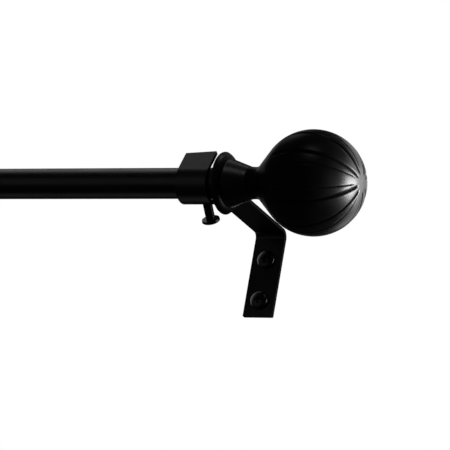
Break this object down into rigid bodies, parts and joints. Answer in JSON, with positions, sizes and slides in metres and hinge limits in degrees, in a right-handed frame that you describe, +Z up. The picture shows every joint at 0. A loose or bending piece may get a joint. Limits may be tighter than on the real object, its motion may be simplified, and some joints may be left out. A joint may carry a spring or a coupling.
{
  "type": "curtain rod with brackets",
  "caption": "Telescoping round curtain rod with ribbed ball finials, held by bent strip wall brackets with hooks, lock screws and wall screws.",
  "frame": {"origin": "on the wall, at the back face of the right bracket's plate, midway between its two screws", "axes": "+X along the rod to the right finial, +Y into the wall, +Z up"},
  "size_m": [0.9122, 0.1299, 0.0678],
  "materials": {
    "black_painted_steel": "satin",
    "black_screw_steel": "satin",
    "black_gloss_resin": "gloss",
    "black_guide_plastic": "matte",
    "zinc_plated_steel": "satin"
  },
  "bodies": {
    "wall_bracket": {"right_bracket": "black_painted_steel", "right_wall_screws": "black_screw_steel"},
    "right_lock": {"right_lock_screw": "black_screw_steel"},
    "right_rod": {"right_thick_tube": "black_painted_steel", "right_mouth_guide": "black_guide_plastic", "right_end_plug": "zinc_plated_steel"},
    "right_finial": {"right_finial_stud": "zinc_plated_steel", "right_finial_collar": "black_painted_steel", "right_finial_ball": "black_gloss_resin"},
    "slide": {"slide_tube": "black_painted_steel", "right_end_glide": "black_guide_plastic", "left_end_glide": "black_guide_plastic"},
    "left_rod": {"left_thick_tube": "black_painted_steel", "left_mouth_guide": "black_guide_plastic", "left_end_plug": "zinc_plated_steel"},
    "left_finial": {"left_finial_stud": "zinc_plated_steel", "left_finial_collar": "black_painted_steel", "left_finial_ball": "black_gloss_resin"},
    "left_wall_bracket": {"left_bracket": "black_painted_steel", "left_wall_screws": "black_screw_steel"},
    "left_lock": {"left_lock_screw": "black_screw_steel"}
  },
  "joints": [
    {"name": "right_lock_travel", "type": "slide", "parent": "wall_bracket", "child": "right_lock", "axis": [0, 0.7193, -0.6947], "range_m": [0, 0.002]},
    {"name": "rod_in_right_hook", "type": "slide", "parent": "wall_bracket", "child": "right_rod", "axis": [1, 0, 0], "range_m": [-0.005, 0.328]},
    {"name": "right_finial_turn", "type": "hinge", "parent": "right_rod", "child": "right_finial", "pos_m": [0.05, -0.0889, 0.0207], "axis": [1, 0, 0], "continuous": true},
    {"name": "right_telescope", "type": "slide", "parent": "right_rod", "child": "slide", "axis": [-1, 0, 0], "range_m": [-0.0254, 0.2286]},
    {"name": "left_telescope", "type": "slide", "parent": "slide", "child": "left_rod", "axis": [-1, 0, 0], "range_m": [-0.0254, 0.2286]},
    {"name": "left_finial_turn", "type": "hinge", "parent": "left_rod", "child": "left_finial", "pos_m": [-0.7792, -0.0889, 0.0207], "axis": [-1, 0, 0], "continuous": true},
    {"name": "left_bracket_along_rod", "type": "slide", "parent": "left_rod", "child": "left_wall_bracket", "axis": [1, 0, 0], "range_m": [-0.005, 0.328]},
    {"name": "left_lock_travel", "type": "slide", "parent": "left_wall_bracket", "child": "left_lock", "axis": [0, 0.7193, -0.6947], "range_m": [0, 0.002]}
  ]
}
